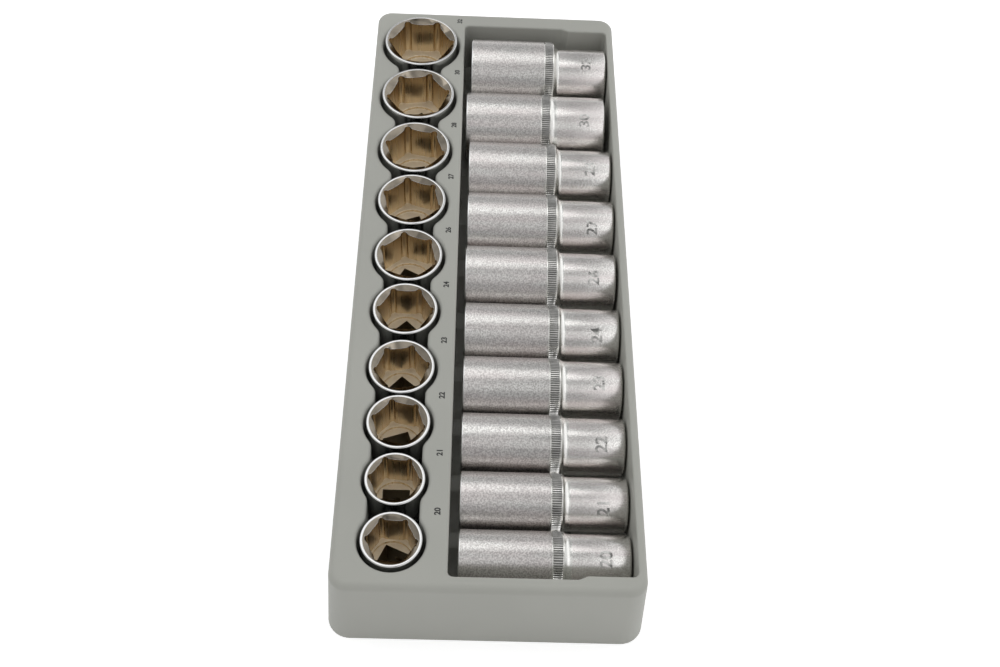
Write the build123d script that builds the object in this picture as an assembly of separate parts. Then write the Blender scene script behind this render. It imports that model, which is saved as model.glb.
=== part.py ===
"""Socket tray: a moulded tray with a row of short sockets and a row of deep sockets.

Millimetres. X runs across the tray, Y from the near end to the far end, Z up.
The origin is the middle of the rectangle that the tray stands on.
Every socket is built with its drive end at z = 0 and its hexagon mouth at the top.
"""
from build123d import *
from math import sqrt
import os

# ---------------------------------------------------------------- sockets, common to both rows
DRIVE_SQUARE = 12.7            # half-inch square drive
DRIVE_PLAY = 0.2               # the hole is this much wider than the square
DRIVE_DEPTH = 17.0             # from the drive end to the end of the square hole
DRIVE_MOUTH_CHAMFER = 0.7
DETENT_DIAMETER = 4.2          # dimple in each side of the square hole, for the catch ball
DETENT_HEIGHT = 8.0            # from the drive end to the middle of the dimple
DETENT_DEPTH = 0.8
HEXAGON_PLAY = 0.2             # the hexagon is this much wider than its nut
CORNER_RELIEF_SHARE = 0.065    # radius of the round groove in each corner, as a share of the size
CORNER_RELIEF_PLACE = 0.945    # its centre, as a share of the distance from axis to corner
LIP_WIDTH = 1.25               # flat ring round the mouth, with its outer rounding
LIP_ROUND = 0.6
LEAD_IN_RISE = 0.58            # the lead-in cone falls this much for each millimetre inwards
RECESS_BASE = 9.0              # round bore below the hexagon: this, plus half of the size
END_CHAMFER = 0.8
KNURL_WIDTH = 5.0
KNURL_GROOVE = 0.5             # width and depth of the line at each side of the knurled band
COVE_WIDTH = 2.8               # hollow curve from the knurled band down to the drive end
COVE_SHOULDER = 0.6            # width of the steep step at the top of that curve

# size, outside diameter, height, turn of the hexagon, turn of the square, gap to the next socket
SHORT_ROW = [
    (20, 28.0, 38.5, -3.0, -24.0, 3.2),
    (21, 28.0, 38.5, -4.0, 0.0, 1.8),
    (22, 30.2, 39.0, -12.0, 20.0, 0.9),
    (23, 32.0, 39.0, 9.0, -41.0, 3.0),
    (24, 32.4, 39.5, 0.0, -45.0, 1.8),
    (26, 35.0, 39.5, -18.0, -28.0, 2.6),
    (27, 36.0, 40.0, -18.0, 22.0, 1.6),
    (28, 38.0, 40.5, -12.0, 12.0, 2.8),
    (30, 40.5, 41.0, 9.0, 35.0, 2.9),
    (32, 42.0, 41.5, 0.0, -10.0, 0.0),
]
SHORT_RECESS_DEPTH = 2.0
SHORT_DRIVE_SHARE = 0.92       # diameter of the drive end, as a share of the outside diameter
SHORT_DRIVE_LENGTH = 13.0      # from the drive end to the hollow curve

# size, outside diameter, drive end diameter, slide towards the hexagon end, gap to the next socket
DEEP_ROW = [
    (20, 28.0, 26.0, 0.0, 1.7),
    (21, 29.0, 26.0, 0.0, 2.0),
    (22, 30.5, 28.0, 0.0, 1.4),
    (23, 32.0, 29.2, 0.0, 1.3),
    (24, 32.5, 29.2, 0.0, 1.4),
    (26, 35.5, 30.5, 0.4, 1.1),
    (27, 36.5, 30.8, 0.0, 0.6),
    (28, 37.5, 31.2, 0.0, 0.6),
    (30, 38.5, 37.0, 2.2, 1.0),
    (32, 42.0, 34.0, 0.0, 0.0),
]
DEEP_LENGTH = 79.0
DEEP_HEXAGON_DEPTH = 26.0
DEEP_DRIVE_LENGTH = 27.4       # from the drive end to the hollow curve
DEEP_TURN_STEP = 17.0          # each deep socket lies turned by this much more than the last

# ---------------------------------------------------------------- tray
WALL = 1.8
TRAY_HEIGHT = 46.0
WALL_LEAN = 2.6                # the foot of each outer wall stands this far outside its top
CORNER_ROUND = 8.0             # corners seen from above
RIM_ROUND = 3.5                # edge between the top and the outer walls
SIDE_LAND = 4.0                # top surface left beside the widest pocket and beside the bay
MIDDLE_LAND = 2.9              # top surface between the widest pocket and the bay
POCKET_NEAR_LAND = 8.4         # top surface before the nearest pocket
POCKET_FAR_LAND = 7.0          # top surface behind the farthest pocket
BAY_NEAR_LAND = 6.9            # top surface before the bay

POCKET_CLEARANCE = 1.6         # round each short socket
POCKET_DEPTH = 38.0
SLOT_WIDTH = 24.0              # the slot that joins the pockets
SLOT_BLEND = 6.0               # curve between slot and pocket
POCKET_RIM_ROUND = 1.6

BAY_DEPTH = 38.0               # from the top of the tray to the lowest line of every cradle
BAY_MOUTH_GAP = 4.3            # from the bay wall to the hexagon ends
BAY_DRIVE_GAP = 1.0            # from the bay wall to the drive ends
BAY_NEAR_GAP = 6.3             # from the bay wall to the nearest deep socket
BAY_FAR_GAP = 4.0              # from the bay wall to the farthest deep socket
BAY_STEP_IN = 1.8              # the bay is narrower by this at each end, beside the drive ends
BAY_STEP_PLACE = 53.5          # from the hexagon ends to that step
BAY_STEP_RUN = 4.0             # length of the slanted wall that makes the step
BAY_STEP_ROUND = 2.5
BAY_CORNER_ROUND = 2.5
BAY_RIM_ROUND = 1.0
CRADLE_CLEARANCE = 0.3         # under each deep socket
CRADLE_DRIVE_CLEARANCE = 0.6   # under its drive end
RIDGE_HEIGHT = 5.0             # from the lowest line of the cradles to the ridges between them
RIDGE_ROUND = 1.5

# ---------------------------------------------------------------- worked out from the above
POCKET_GROWTH = 2 * POCKET_CLEARANCE
WIDEST_POCKET = max(row[1] for row in SHORT_ROW) + POCKET_GROWTH
BAY_WIDTH = BAY_MOUTH_GAP + DEEP_LENGTH + BAY_DRIVE_GAP
TRAY_WIDTH = SIDE_LAND + WIDEST_POCKET + MIDDLE_LAND + BAY_WIDTH + SIDE_LAND


def row_places(diameters, gaps, start):
    """The middle of each socket along Y, for sockets laid one after the other from start."""
    places = []
    edge = start
    for diameter, gap in zip(diameters, gaps):
        places.append(edge + diameter / 2)
        edge += diameter + gap
    return places


SHORT_DIAMETERS = [row[1] for row in SHORT_ROW]
DEEP_DIAMETERS = [row[1] for row in DEEP_ROW]
SHORT_START = POCKET_NEAR_LAND + POCKET_CLEARANCE
DEEP_START = BAY_NEAR_LAND + BAY_NEAR_GAP
SHORT_Y = row_places(SHORT_DIAMETERS, [row[5] for row in SHORT_ROW], SHORT_START)
DEEP_Y = row_places(DEEP_DIAMETERS, [row[4] for row in DEEP_ROW], DEEP_START)
BAY_END = DEEP_Y[-1] + DEEP_DIAMETERS[-1] / 2 + BAY_FAR_GAP
POCKET_END = SHORT_Y[-1] + SHORT_DIAMETERS[-1] / 2 + POCKET_CLEARANCE
TRAY_LENGTH = max(POCKET_END, BAY_END) + POCKET_FAR_LAND

# the tray's middle is the origin, so every place along Y is measured back from it
SHORT_Y = [place - TRAY_LENGTH / 2 for place in SHORT_Y]
DEEP_Y = [place - TRAY_LENGTH / 2 for place in DEEP_Y]
BAY_NEAR = BAY_NEAR_LAND - TRAY_LENGTH / 2
BAY_FAR = BAY_END - TRAY_LENGTH / 2
POCKET_X = -TRAY_WIDTH / 2 + SIDE_LAND + WIDEST_POCKET / 2
BAY_RIGHT = TRAY_WIDTH / 2 - SIDE_LAND
BAY_LEFT = BAY_RIGHT - BAY_WIDTH
DRIVE_END_X = BAY_RIGHT - BAY_DRIVE_GAP
BAY_STEP_X = DRIVE_END_X - DEEP_LENGTH + BAY_STEP_PLACE
POCKET_FLOOR = TRAY_HEIGHT - POCKET_DEPTH
BAY_FLOOR = TRAY_HEIGHT - BAY_DEPTH
RIDGE_LEVEL = BAY_FLOOR + RIDGE_HEIGHT
PAST = 1.0                     # how far a cutter runs past the face that it opens


# ---------------------------------------------------------------- one socket
def socket_outside(length, outside, drive_end, drive_length):
    """The turned outer shape: drive end, hollow curve, knurled band, plain end, rounded lip."""
    radius = outside / 2
    drive_radius = drive_end / 2
    cove_top = drive_length + COVE_WIDTH
    band_start = cove_top + COVE_SHOULDER
    band_end = band_start + KNURL_WIDTH
    shoulder_radius = radius - (radius - drive_radius) * 0.35
    cove_start = (drive_radius, drive_length)
    cove_middle = (drive_radius + (shoulder_radius - drive_radius) * 0.3, drive_length + COVE_WIDTH * 0.6)
    cove_end = (shoulder_radius, cove_top)
    with BuildPart() as outer:
        with BuildSketch(Plane.XZ):
            with BuildLine():
                Polyline((0, 0), (drive_radius - END_CHAMFER, 0), (drive_radius, END_CHAMFER), cove_start)
                ThreePointArc(cove_start, cove_middle, cove_end)
                Polyline(cove_end, (radius, band_start), (radius, length - LIP_ROUND))
                RadiusArc((radius, length - LIP_ROUND), (radius - LIP_ROUND, length), -LIP_ROUND)
                Polyline((radius - LIP_ROUND, length), (0, length), (0, 0))
            make_face()
        revolve(axis=Axis.Z)
    shape = outer.part
    for height in (band_start, band_end):
        ring = Cylinder(radius + PAST, KNURL_GROOVE, align=(Align.CENTER, Align.CENTER, Align.MIN))
        ring -= Cylinder(radius - KNURL_GROOVE, KNURL_GROOVE, align=(Align.CENTER, Align.CENTER, Align.MIN))
        shape -= Pos(0, 0, height) * ring
    return shape


def hexagon_cutter(size, turn, depth):
    """The six-sided hole with a round groove in each corner, from z = 0 to depth."""
    corner = (size + HEXAGON_PLAY) / sqrt(3)
    with BuildPart() as cutter:
        with BuildSketch():
            RegularPolygon(corner, 6, rotation=turn)
            with PolarLocations(corner * CORNER_RELIEF_PLACE, 6, start_angle=turn):
                Circle(size * CORNER_RELIEF_SHARE)
        extrude(amount=depth)
    return cutter.part


def drive_cutter(turn):
    """The square hole with its entry chamfer and four dimples, from z = 0 upwards."""
    width = DRIVE_SQUARE + DRIVE_PLAY
    mouth = width + 2 * DRIVE_MOUTH_CHAMFER
    hole = extrude(Rectangle(width, width), DRIVE_DEPTH)
    entry_top = Pos(0, 0, DRIVE_MOUTH_CHAMFER) * Rectangle(width, width)
    hole += loft([Rectangle(mouth, mouth).face(), entry_top.face()])
    offset = width / 2 + DETENT_DEPTH - DETENT_DIAMETER / 2
    for quarter in range(4):
        # the ball's poles lie along the line that it is pressed in, square to the wall
        ball = Rot(0, 90, 0) * Sphere(DETENT_DIAMETER / 2)
        hole += Rot(0, 0, 90 * quarter) * Pos(offset, 0, DETENT_HEIGHT) * ball
    return Rot(0, 0, turn) * hole


def socket(size, length, outside, drive_end, drive_length, hexagon_depth, turns):
    """A whole socket; turns holds the turn of its hexagon and of its square."""
    shape = socket_outside(length, outside, drive_end, drive_length)
    mouth_radius = outside / 2 - LIP_WIDTH
    bore_radius = (RECESS_BASE + size / 2) / 2
    bore_bottom = DRIVE_DEPTH
    bore = Cylinder(bore_radius, length - bore_bottom, align=(Align.CENTER, Align.CENTER, Align.MIN))
    shape -= Pos(0, 0, bore_bottom) * bore
    shape -= Pos(0, 0, length - hexagon_depth) * hexagon_cutter(size, turns[0], hexagon_depth + PAST)
    lead_in = mouth_radius * LEAD_IN_RISE
    cone = Cone(0, mouth_radius, lead_in, align=(Align.CENTER, Align.CENTER, Align.MAX))
    shape -= Pos(0, 0, length) * cone
    shape -= drive_cutter(turns[1])
    return shape


def short_sockets():
    """Each short socket stands on its drive end in its pocket."""
    made = {}
    for row, y in zip(SHORT_ROW, SHORT_Y):
        size, outside, height, hexagon_turn, square_turn = row[:5]
        depth = height - DRIVE_DEPTH - SHORT_RECESS_DEPTH
        turns = (hexagon_turn, square_turn)
        shape = socket(size, height, outside, outside * SHORT_DRIVE_SHARE, SHORT_DRIVE_LENGTH, depth, turns)
        made[f"short_socket_{size}mm"] = Pos(POCKET_X, y, POCKET_FLOOR) * shape
    return made


def deep_axis_height(outside):
    """Height of a deep socket's axis when it lies in its cradle."""
    return BAY_FLOOR + CRADLE_CLEARANCE + outside / 2


def deep_sockets():
    """Each deep socket lies across the bay, its hexagon end towards -X."""
    made = {}
    for number, (row, y) in enumerate(zip(DEEP_ROW, DEEP_Y)):
        size, outside, drive_end, slide = row[:4]
        turns = (number * DEEP_TURN_STEP, number * DEEP_TURN_STEP)
        shape = socket(size, DEEP_LENGTH, outside, drive_end, DEEP_DRIVE_LENGTH, DEEP_HEXAGON_DEPTH, turns)
        place = Pos(DRIVE_END_X - slide, y, deep_axis_height(outside))
        made[f"deep_socket_{size}mm"] = place * Rot(0, -90, 0) * shape
    return made


# ---------------------------------------------------------------- the tray's hollows
def pocket_outline():
    """Seen from above: round pockets joined by a slot, with curved blends."""
    middle = (SHORT_Y[0] + SHORT_Y[-1]) / 2
    outline = Pos(POCKET_X, middle) * Rectangle(SLOT_WIDTH, SHORT_Y[-1] - SHORT_Y[0])
    for y, diameter in zip(SHORT_Y, SHORT_DIAMETERS):
        outline += Pos(POCKET_X, y) * Circle(diameter / 2 + POCKET_CLEARANCE)
    necks = [v for v in outline.vertices() if abs(abs(v.X - POCKET_X) - SLOT_WIDTH / 2) < 0.01]
    return fillet(necks, SLOT_BLEND)


def bay_outline(near, far, cradles):
    """A slice across the bay in the YZ plane: open above the ridges, with a cradle for each socket."""
    top = TRAY_HEIGHT + PAST
    middle = (near + far) / 2
    outline = Pos(middle, (RIDGE_LEVEL + top) / 2) * Rectangle(far - near, top - RIDGE_LEVEL)
    for y, height, radius in cradles:
        outline += Pos(y, height) * Circle(radius)
    level = [v for v in outline.vertices() if abs(v.Y - RIDGE_LEVEL) < 0.01]
    ridges = [v for v in level if near + 0.1 < v.X < far - 0.1]
    return fillet(ridges, RIDGE_ROUND)


def bay_slices():
    """The bay's two slices, beside the hexagon ends and beside the drive ends."""
    wide = []
    narrow = []
    for row, y in zip(DEEP_ROW, DEEP_Y):
        outside, drive_end = row[1:3]
        wide.append((y, deep_axis_height(outside), outside / 2 + CRADLE_CLEARANCE))
        narrow.append((y, deep_axis_height(outside), drive_end / 2 + CRADLE_DRIVE_CLEARANCE))
    wide_slice = bay_outline(BAY_NEAR, BAY_FAR, wide)
    narrow_slice = bay_outline(BAY_NEAR, BAY_FAR, narrow)
    return wide_slice, narrow_slice


def along_x(outline, start, end):
    """A slice of the bay pushed out along X, from start to end."""
    return extrude(Plane.YZ.offset(start) * outline, end - start)


def bay_plan():
    """The bay seen from above, with rounded corners and a small slanted step at each end."""
    narrow_near = BAY_NEAR + BAY_STEP_IN
    narrow_far = BAY_FAR - BAY_STEP_IN
    step_end = BAY_STEP_X + BAY_STEP_RUN
    near_side = [(BAY_LEFT, BAY_NEAR), (BAY_STEP_X, BAY_NEAR), (step_end, narrow_near)]
    drive_side = [(BAY_RIGHT, narrow_near), (BAY_RIGHT, narrow_far)]
    far_side = [(step_end, narrow_far), (BAY_STEP_X, BAY_FAR), (BAY_LEFT, BAY_FAR)]
    plan = make_face(Polyline(*near_side, *drive_side, *far_side, close=True))
    steps = [v for v in plan.vertices() if BAY_STEP_X - 0.01 < v.X < step_end + 0.01]
    plan = fillet(steps, BAY_STEP_ROUND)
    corners = [v for v in plan.vertices() if min(abs(v.X - BAY_LEFT), abs(v.X - BAY_RIGHT)) < 0.01]
    return fillet(corners, BAY_CORNER_ROUND)


# ---------------------------------------------------------------- the tray
def leaning_block(inset, height):
    """A block whose walls lean in as they rise, drawn in by inset all round."""
    width = TRAY_WIDTH - 2 * inset
    length = TRAY_LENGTH - 2 * inset
    lean = WALL_LEAN * height / TRAY_HEIGHT
    top_gain = WALL_LEAN - lean
    foot = RectangleRounded(width + 2 * WALL_LEAN, length + 2 * WALL_LEAN, CORNER_ROUND - inset + WALL_LEAN)
    head = RectangleRounded(width + 2 * top_gain, length + 2 * top_gain, CORNER_ROUND - inset + top_gain)
    block = loft([foot.face(), (Pos(0, 0, height) * head).face()], ruled=True)
    rim = block.edges().group_by(Axis.Z)[-1]
    return fillet(rim, RIM_ROUND - inset)


def tray():
    """One moulded skin: outer walls, top, pockets, slot and bay, open underneath."""
    body = leaning_block(0, TRAY_HEIGHT)
    body -= leaning_block(WALL, TRAY_HEIGHT - WALL)
    under_top = TRAY_HEIGHT - WALL / 2

    pockets = pocket_outline()
    pocket_skin = offset(pockets, WALL)
    skin_height = under_top - (POCKET_FLOOR - WALL)
    body += Pos(0, 0, POCKET_FLOOR - WALL) * extrude(pocket_skin, skin_height)

    wide_slice, narrow_slice = bay_slices()
    bay_skin = along_x(offset(wide_slice, WALL), BAY_LEFT - WALL, BAY_STEP_X + WALL)
    bay_skin += along_x(offset(narrow_slice, WALL), BAY_STEP_X, BAY_RIGHT + WALL)
    above = extrude(Pos(0, 0, under_top) * Rectangle(TRAY_WIDTH * 2, TRAY_LENGTH * 2), TRAY_HEIGHT)
    body += bay_skin - above

    body -= Pos(0, 0, POCKET_FLOOR) * extrude(pockets, POCKET_DEPTH + PAST)
    bay = along_x(wide_slice, BAY_LEFT, BAY_STEP_X) + along_x(narrow_slice, BAY_STEP_X, BAY_RIGHT)
    bay &= Pos(0, 0, BAY_FLOOR - PAST) * extrude(bay_plan(), BAY_DEPTH + 2 * PAST)
    body -= bay

    top = body.faces().sort_by(Axis.Z)[-1]
    for rim in sorted(top.inner_wires(), key=lambda wire: wire.center().X, reverse=True):
        radius = BAY_RIM_ROUND if rim.center().X > POCKET_X + SLOT_WIDTH else POCKET_RIM_ROUND
        body = fillet(matching_edges(body, rim), radius)
    return body


def matching_edges(body, wire):
    """The edges of body that lie where the wire's edges lie."""
    middles = [edge.center() for edge in wire.edges()]
    return [edge for edge in body.edges() if any((edge.center() - m).length < 0.01 for m in middles)]


def main():
    """Write one STEP file for each piece."""
    os.makedirs("parts", exist_ok=True)
    pieces = {"tray": tray()}
    pieces.update(short_sockets())
    pieces.update(deep_sockets())
    for name, shape in pieces.items():
        export_step(shape, f"parts/{name}.step")
        box = shape.bounding_box()
        print(name, round(shape.volume), [round(n, 2) for n in (*box.min, *box.max)])


main()
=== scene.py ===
"""Looks for a socket tray: a moulded tray, ten short and ten deep sockets, printed and stamped sizes.

Metres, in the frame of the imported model: X across the tray, Y from its near end to its far end,
Z up. Every socket is built with its drive end at z = 0 and its hexagon mouth at the top, and is
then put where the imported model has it.
"""
from math import asin, atan2, cos, pi, radians, sin, sqrt, tan

import bmesh
import bpy
from bpy.props import FloatProperty, FloatVectorProperty, IntProperty, PointerProperty
from mathutils import Matrix, Vector


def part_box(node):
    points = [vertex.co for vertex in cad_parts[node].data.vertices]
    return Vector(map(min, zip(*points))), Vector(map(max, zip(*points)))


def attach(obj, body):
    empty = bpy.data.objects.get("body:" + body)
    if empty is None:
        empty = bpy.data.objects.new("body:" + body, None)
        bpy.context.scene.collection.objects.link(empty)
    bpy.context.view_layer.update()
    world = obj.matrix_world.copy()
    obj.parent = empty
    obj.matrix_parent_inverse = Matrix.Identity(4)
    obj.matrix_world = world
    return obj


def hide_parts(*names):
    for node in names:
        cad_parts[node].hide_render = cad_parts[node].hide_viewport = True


bl_info = {
    "name": "Socket Tray",
    "version": (1, 0, 0),
    "blender": (4, 5, 0),
    "location": "3D View > Sidebar > Socket Tray",
    "description": "Builds a tool-chest tray with short and deep hexagon sockets",
    "category": "Add Mesh",
}

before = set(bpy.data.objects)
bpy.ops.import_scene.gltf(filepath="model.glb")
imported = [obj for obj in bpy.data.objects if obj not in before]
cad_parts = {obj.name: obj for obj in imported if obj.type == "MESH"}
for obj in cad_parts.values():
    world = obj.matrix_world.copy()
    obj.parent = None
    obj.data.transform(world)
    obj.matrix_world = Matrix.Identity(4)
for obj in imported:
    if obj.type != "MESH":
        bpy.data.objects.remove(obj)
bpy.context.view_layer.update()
MM = 0.001
SIZES = (20, 21, 22, 23, 24, 26, 27, 28, 30, 32)

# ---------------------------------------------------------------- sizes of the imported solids, in mm
SQUARE_HOLE_WIDTH = 12.9       # the half-inch square and its play
DRIVE_DEPTH = 17.0
DRIVE_MOUTH_CHAMFER = 0.7
DETENT_DIAMETER = 4.2
DETENT_HEIGHT = 8.0
DETENT_DEPTH = 0.8
HEXAGON_PLAY = 0.2
LIP_WIDTH = 1.25
LIP_ROUND = 0.6
LEAD_IN_RISE = 0.58
RECESS_BASE = 9.0
END_CHAMFER = 0.8
KNURL_WIDTH = 5.0
KNURL_GROOVE = 0.5
COVE_WIDTH = 2.8
COVE_SHOULDER = 0.6
COVE_SHOULDER_SHARE = 0.35     # how far the shoulder lies below the band, as a share of the whole step
SHORT_RECESS_DEPTH = 2.0
SHORT_DRIVE_SHARE = 0.92
SHORT_DRIVE_LENGTH = 13.0
DEEP_HEXAGON_DEPTH = 26.0
DEEP_DRIVE_LENGTH = 27.4
DEEP_TURN_STEP = 17.0
SHORT_HEXAGON_TURNS = (-3.0, -4.0, -12.0, 9.0, 0.0, -18.0, -18.0, -12.0, 9.0, 0.0)
SHORT_SQUARE_TURNS = (-24.0, 0.0, 20.0, -41.0, -45.0, -28.0, 22.0, 12.0, 35.0, -10.0)
DEEP_DRIVE_DIAMETERS = (26.0, 26.0, 28.0, 29.2, 29.2, 30.5, 30.8, 31.2, 37.0, 34.0)

# ---------------------------------------------------------------- sizes of the dressed model alone, in mm
CORNER_RELIEF_SHARE = 0.078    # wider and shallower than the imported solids' reliefs, as photographed
CORNER_RELIEF_PLACE = 0.895

# rings that soften an edge or draw a fine line along it stand this far from it
HOLE_TOP_EDGE = 0.2            # below the top of the square hole
END_FLAT_EDGE = 0.25           # inside the chamfer's foot
CHAMFER_FOOT = 0.06
CHAMFER_HEAD = 0.08
CHAMFER_EDGE = 0.2             # above the chamfer
COVE_EDGE = 0.25               # below the hollow curve
GROOVE_LIP = 0.1               # from the groove under the band to its shoulder
GROOVE_EDGE = 0.12             # from the groove above the band, inwards
GROOVE_EDGE_RISE = 0.02
GROOVE_END_RISE = 0.16
RIDGE_ROUND = 0.25
RIDGE_GAP = 0.02
LIP_EDGE = 0.15                # below the lip's rounding
LIP_FLAT_EDGE = 0.22           # outside the mouth
LIP_LINE = 0.02                # at each side of the mouth's edge
LIP_LINE_DROPS = (0.04, 0.07)
CONE_FOOT = 0.10               # from the hexagon's wall, outwards
CONE_FOOT_DROP = 0.02
# WALL_LINE places a painted highlight line of polished chrome along the hexagon's top edge
WALL_LINE = 0.02
WALL_LINE_DROP = 0.05
WALL_TOP_DROP = 0.16
FLOOR_EDGE_RISE = 0.15
FLOOR_EDGE_IN = 0.12
BORE_EDGE_OUT = 0.22
BORE_EDGE_DROP = 0.2
BORE_TOP_DROP = 0.6
BORE_FOOT = 0.3
LONG_BORE = 3.0                # a bore longer than this gets a ring at its middle
DIMPLE_MARGIN = 1.0

STAMP_PLACE = 11.5             # from the drive end to the middle of a stamped figure
STAMP_TURNS = (-0.35, -0.6, -0.45, -0.3, -0.55, -0.5, -0.65, -0.4, -0.5, -0.3)
STAMP_THICKNESS = 0.08
STAMP_LIFT = 0.02
STAMP_WEIGHT = 0.006           # the share of its height that makes a figure's strokes bolder
PRINT_WEIGHT = 0.02
PRINT_THICKNESS = 0.05
PRINT_OUT = 20.2               # from a pocket's middle to the printed size beside it
PRINT_WIDE_RADIUS = 17.5       # sockets wider than this push their printed size further out
PRINT_WIDE_SHARE = 0.6
PRINT_BACK_SHARE = 1.06        # how far back the printed size stands, as a share of the radius
STROKE_OFFSET = 0.03           # as a share of a figure's height
FONT_SHARE = 1.4               # a font's size against the height of its figures
WRAP_STEP = 0.4                # width of the strips in which a stamped figure is bent

# how finely curves are drawn
RELIEF_STEPS = 5
FLAT_STEPS = 7
DIMPLE_STEPS = 4
SQUARE_WALL_ANGLES = (-45, -36, -27, 27, 36)
COVE_STEPS = 8
COVE_FLATNESS = 0.35
LIP_STEPS = 4
HALVINGS = 30
HAIR = 1e-9
SHARP_ANGLE = 32

DIMPLE_RADIUS = sqrt((DETENT_DIAMETER / 2) ** 2 - (DETENT_DIAMETER / 2 - DETENT_DEPTH) ** 2)


# ---------------------------------------------------------------- what a user may change
class SocketLook(bpy.types.PropertyGroup):
    """Detail and finish of the sockets."""
    knurl_pitch: FloatProperty(
        name="Knurl pitch", description="Distance between the ridges of the knurled band",
        default=1.15 * MM, min=0.5 * MM, unit="LENGTH")
    knurl_depth: FloatProperty(
        name="Knurl depth", description="Depth of the knurled band's grooves",
        default=0.42 * MM, min=0.0, unit="LENGTH")
    facets: IntProperty(
        name="Facets", description="Sides of each turned surface", default=112, min=24, max=256)
    chrome: FloatVectorProperty(
        name="Polished chrome", description="Colour of the polished plating",
        default=(0.66, 0.66, 0.655), subtype="COLOR")
    satin: FloatVectorProperty(
        name="Satin chrome", description="Colour of the satin plating",
        default=(0.745, 0.738, 0.712), subtype="COLOR")
    bronze: FloatVectorProperty(
        name="Oiled steel", description="Colour of the hexagon's oiled walls",
        default=(0.56, 0.45, 0.30), subtype="COLOR")
    land: FloatVectorProperty(
        name="Turned land", description="Colour of the turned steel below the hexagon",
        default=(1.0, 0.92, 0.77), subtype="COLOR")


class TrayLook(bpy.types.PropertyGroup):
    """Finish of the tray, and of the printed and stamped sizes."""
    plastic: FloatVectorProperty(
        name="Plastic", description="Colour of the moulded plastic",
        default=(0.382, 0.384, 0.350), subtype="COLOR")
    ink: FloatVectorProperty(
        name="Ink", description="Colour of the printed sizes",
        default=(0.012, 0.012, 0.012), subtype="COLOR")
    digit_height: FloatProperty(
        name="Digit height", description="Height of the printed sizes",
        default=2.7 * MM, min=1.0 * MM, unit="LENGTH")
    stamp_height: FloatProperty(
        name="Stamp height", description="Height of the sizes stamped on the deep sockets",
        default=5.6 * MM, min=1.0 * MM, unit="LENGTH")


class StageLook(bpy.types.PropertyGroup):
    """Floor, lights and camera."""
    floor: FloatVectorProperty(
        name="Floor", description="Colour of the floor", default=(0.97, 0.97, 0.97), subtype="COLOR")
    floor_white: FloatProperty(
        name="Floor white", description="White added to the floor as the camera sees it",
        default=0.45, min=0.0, max=1.0, subtype="FACTOR")
    key_power: FloatProperty(
        name="Key light", description="Power of the large overhead light", default=4.8, min=0.0)
    fill_power: FloatProperty(
        name="Fill light", description="Power of the light above the camera", default=0.9, min=0.0)
    lens: FloatProperty(
        name="Lens", description="Focal length for a 36 mm wide sensor", default=48.3, min=10.0)


# ---------------------------------------------------------------- rings: turned and bored shapes
def circle_angles(count):
    """Evenly spread angles."""
    return [2 * pi * step / count for step in range(count)]


def hexagon_radius(size, turn, angle):
    """Distance from the axis to the hexagon's wall, with its round corner reliefs."""
    across = size + HEXAGON_PLAY
    corner = across / sqrt(3)
    away = (angle - turn + pi / 6) % (pi / 3) - pi / 6
    flat = across / 2 / cos(pi / 6 - abs(away))
    centre = corner * CORNER_RELIEF_PLACE
    relief = size * CORNER_RELIEF_SHARE
    reach = relief ** 2 - (centre * sin(away)) ** 2
    return max(flat, centre * cos(away) + sqrt(reach)) if reach > 0 else flat


def relief_half_angle(size):
    """Half of the angle that a corner relief takes up, seen from the axis, found by halving."""
    across = size + HEXAGON_PLAY
    corner = across / sqrt(3)
    low = 0.0
    high = asin(CORNER_RELIEF_SHARE * size / (corner * CORNER_RELIEF_PLACE))
    for _ in range(HALVINGS):
        middle = (low + high) / 2
        flat = across / 2 / cos(pi / 6 - middle)
        if hexagon_radius(size, 0.0, middle) > flat + HAIR:
            low = middle
        else:
            high = middle
    return low


def hexagon_angles(size, turn):
    """Angles that follow the flats and the corner reliefs exactly."""
    edge = relief_half_angle(size)
    gap = pi / 3 - 2 * edge
    angles = []
    for side in range(6):
        corner = turn + side * pi / 3
        angles += [corner + edge * step / RELIEF_STEPS for step in range(-RELIEF_STEPS, RELIEF_STEPS + 1)]
        angles += [corner + edge + gap * step / FLAT_STEPS for step in range(1, FLAT_STEPS)]
    return sorted(angle % (2 * pi) for angle in angles)


def away_from_middle(turn, angle):
    """The angle from the middle of the nearest wall of a square hole."""
    return (angle - turn + pi / 4) % (pi / 2) - pi / 4


def square_radius(width, turn, angle):
    """Distance from the axis to the wall of a square hole."""
    return width / 2 / cos(away_from_middle(turn, angle))


def square_angles(width, turn):
    """Angles at the corners, along the walls and across the dimples of a square hole."""
    dimple = [atan2(DIMPLE_RADIUS * step / DIMPLE_STEPS, width / 2)
              for step in range(-DIMPLE_STEPS, DIMPLE_STEPS + 1)]
    wall = [radians(degrees) for degrees in SQUARE_WALL_ANGLES]
    angles = [turn + side * pi / 2 + away for side in range(4) for away in dimple + wall]
    return sorted(angle % (2 * pi) for angle in angles)


def dimple_push(width, turn, angle, height):
    """How far a dimple pushes the wall of the square hole outwards at one point."""
    away = away_from_middle(turn, angle)
    across = width / 2 * tan(away)
    ball = DETENT_DIAMETER / 2
    reach = ball ** 2 - across ** 2 - (height - DETENT_HEIGHT) ** 2
    return max(0.0, sqrt(reach) - (ball - DETENT_DEPTH)) / cos(away) if reach > 0 else 0.0


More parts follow.
